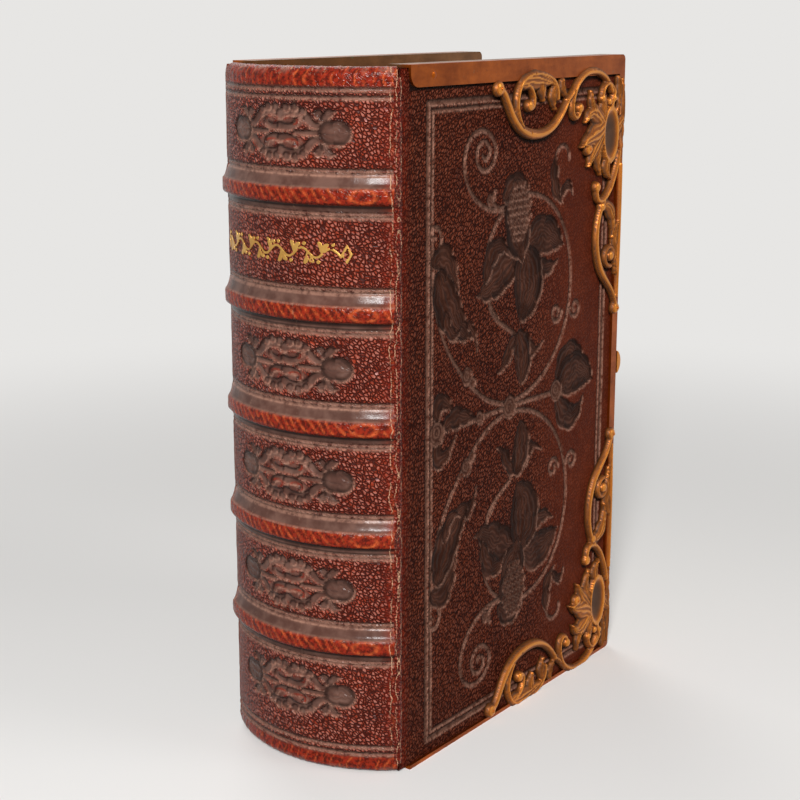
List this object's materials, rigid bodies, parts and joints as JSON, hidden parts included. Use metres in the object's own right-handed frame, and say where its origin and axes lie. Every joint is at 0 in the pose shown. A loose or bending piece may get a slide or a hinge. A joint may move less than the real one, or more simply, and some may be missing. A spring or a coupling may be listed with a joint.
{
  "type": "antique leather book",
  "caption": "Small upright leather-bound book with a rounded banded spine, brass-rimmed covers that open, filigree corner mounts and a hinged fore-edge clasp.",
  "frame": {"origin": "middle of the closed book's overall length and thickness, on the plane its tail stands on", "axes": "+Z from tail to head, +X from spine to fore-edge, +Y from front cover to rear cover"},
  "size_m": [0.0976, 0.0456, 0.14],
  "materials": {
    "morocco": "red-brown pebble-grained goatskin, glossy on the spine, blind-tooled parts darker and smooth",
    "rim_brass": "satin, warm, lightly tarnished with a few green spots inside",
    "gilt_brass": "gilt, rubbed bright on the high parts and dark in the hollows",
    "gilt_pages": "cut edges gilt, fine leaf lines",
    "endpaper": "plain aged paper",
    "card": "matt board",
    "silk": "sewn silk, red and cream"
  },
  "bodies": {
    "block": {"text_block": "gilt_pages", "spine_lining": "card", "hollow_liner": "card", "band_strip_1": "card", "band_strip_2": "card", "band_strip_3": "card", "band_strip_4": "card", "band_strip_5": "card", "headband_head": "silk", "headband_tail": "silk", "spine_leather": "morocco"},
    "front_cover": {"front_board": "card", "front_leather": "morocco", "front_pastedown": "endpaper", "front_rim": "rim_brass", "front_rivet": "rim_brass", "front_corner_head": "gilt_brass", "front_corner_tail": "gilt_brass", "front_corner_pins": "rim_brass", "clasp_keeper": "rim_brass", "keeper_pins": "rim_brass"},
    "rear_cover": {"rear_board": "card", "rear_leather": "morocco", "rear_pastedown": "endpaper", "rear_rim": "rim_brass", "rear_rivet": "rim_brass", "rear_corner_head": "gilt_brass", "rear_corner_tail": "gilt_brass", "rear_corner_pins": "rim_brass", "clasp_hinge_plate": "rim_brass", "hinge_plate_pins": "rim_brass", "clasp_hinge_pin": "rim_brass"},
    "clasp": {"clasp_arm": "gilt_brass"}
  },
  "joints": [
    {"name": "front_cover_hinge", "type": "hinge", "parent": "block", "child": "front_cover", "pos_m": [-0.03948, -0.02105, 0], "axis": [0, 0, -1], "range_deg": [0, 180]},
    {"name": "rear_cover_hinge", "type": "hinge", "parent": "block", "child": "rear_cover", "pos_m": [-0.03948, 0.02105, 0], "axis": [0, 0, 1], "range_deg": [0, 180]},
    {"name": "clasp_hinge", "type": "hinge", "parent": "rear_cover", "child": "clasp", "pos_m": [0.04738, 0.01915, 0.0698], "axis": [0, 0, 1], "range_deg": [-1.2, 140]}
  ]
}
